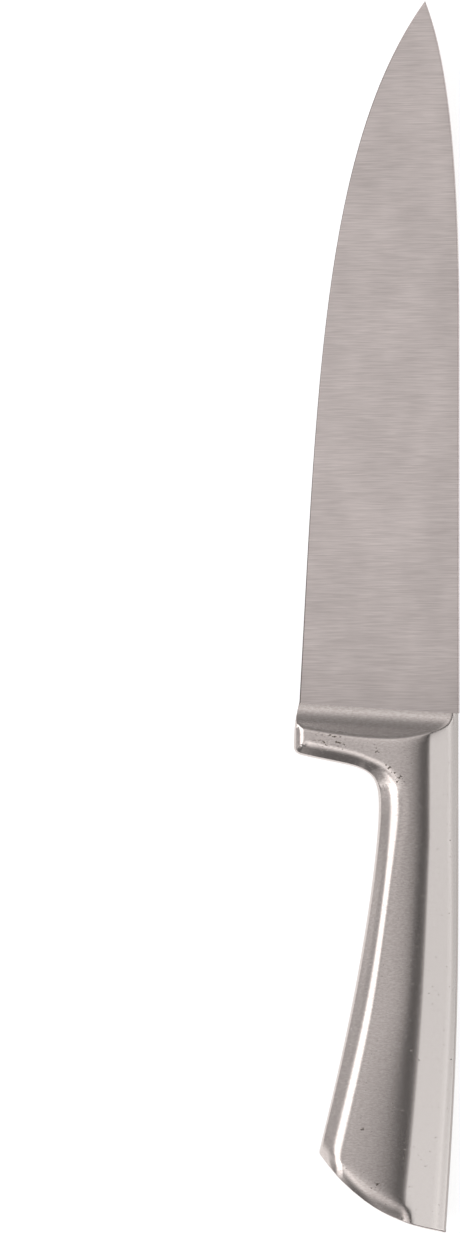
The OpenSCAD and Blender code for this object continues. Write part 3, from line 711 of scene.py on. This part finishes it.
# Floor.
# A table top of matt white laminate, without gloss. The camera and the steel see it lifted to
# white, and it keeps the knife's soft shadow.
FLOOR_REACH, FLOOR_GLOW = 3, 0.74
floor_mesh = bpy.data.meshes.new("table_top")
floor_mesh.from_pydata([(x * FLOOR_REACH, y * FLOOR_REACH, 0)
                        for x, y in ((-1, -1), (1, -1), (1, 1), (-1, 1))], [], [(0, 1, 2, 3)])
floor = bpy.data.objects.new("table_top", floor_mesh)
bpy.context.scene.collection.objects.link(floor)
white_top, tree, out = new_material("white_laminate_table_top")
matt = node(tree, "ShaderNodeBsdfDiffuse", Color=linear("#b6b6b6"))
glow = node(tree, "ShaderNodeEmission", Color=linear("#ffffff"), Strength=FLOOR_GLOW)
rays = node(tree, "ShaderNodeLightPath").outputs
seen = rays["Is Camera Ray"]
for kind in ("Is Glossy Ray", "Is Transmission Ray"):
    seen = node(tree, "ShaderNodeMath", {"operation": "MAXIMUM"}, _0=seen, _1=rays[kind]).outputs[0]
both = node(tree, "ShaderNodeAddShader", _0=matt.outputs[0], _1=glow.outputs[0])
shown = node(tree, "ShaderNodeMixShader", _0=seen, _1=matt.outputs[0], _2=both.outputs[0])
tree.links.new(shown.outputs[0], out.inputs[0])
floor_mesh.materials.append(white_top)

# Light.
# A studio tent over the table: a grey roof, a bright panel at either side of the knife's
# length, and a dark gap beside the right one, which draws the dark band along the crease.
world = bpy.data.worlds.new("studio")
bpy.context.scene.world = world
world.use_nodes = True
tree = world.node_tree
tree.nodes.clear()
toward = node(tree, "ShaderNodeTexCoord").outputs["Generated"]
toward_x, toward_y = node(tree, "ShaderNodeSeparateXYZ", Vector=toward).outputs[:2]


def panels(side, stops):
    """Brightness by the angle towards one side, in degrees from straight up."""
    place = node(tree, "ShaderNodeMapRange", Value=side, From_Min=-1, From_Max=1).outputs[0]
    stops = [((math.sin(math.radians(angle)) + 1) / 2, grey(value)) for angle, value in stops]
    return node(tree, "ShaderNodeValToRGB", Fac=place, stops=stops).outputs[0]


beside = panels(toward_x, [(-90, 0.72), (-80, 0.5), (-70, 0.42), (-60, 0.4), (-56, 1.85),
                           (-33, 1.85), (-29, 0.5), (-21, 0.54), (-10, 0.64), (3, 0.64),
                           (15, 0.52), (22, 0.34), (26, 0.03), (34, 0.03), (38, 1.2),
                           (46, 1.12), (52, 0.8), (60, 0.66), (75, 0.62), (90, 0.8)])
along = panels(toward_y, [(-90, 0.65), (-62, 0.58), (-50, 0.48), (-39, 0.43), (-32, 0.95),
                          (-26, 1.5), (-13, 1.55), (-5, 1.0), (0, 1.0), (12, 1.2), (23, 1.5),
                          (35, 1.12), (54, 0.6), (78, 0.46), (90, 0.46)])
# The left panel reaches round to the one beyond the butt, and under their corner it is dark.
leftward = node(tree, "ShaderNodeMath", {"operation": "MINIMUM"}, _0=toward_x, _1=0.0).outputs[0]
corner = node(tree, "ShaderNodeMath", {"operation": "MULTIPLY"}, _0=leftward, _1=toward_y).outputs[0]
round_corner = node(tree, "ShaderNodeValToRGB", Fac=corner,
                    stops=[(0.02, grey(1)), (0.06, grey(1.45)), (0.12, grey(1.4)),
                           (0.17, grey(0.9)), (0.28, grey(0.6)), (0.4, grey(0.5))]).outputs[0]
light = beside
for shade in (along, round_corner):
    light = node(tree, "ShaderNodeMix", TIMES, _0=1.0, _6=light, _7=shade).outputs[2]
glowing = node(tree, "ShaderNodeBackground", Color=light, Strength=1.0)
tree.links.new(glowing.outputs[0], node(tree, "ShaderNodeOutputWorld").inputs[0])

bpy.context.scene.view_settings.view_transform = "Standard"
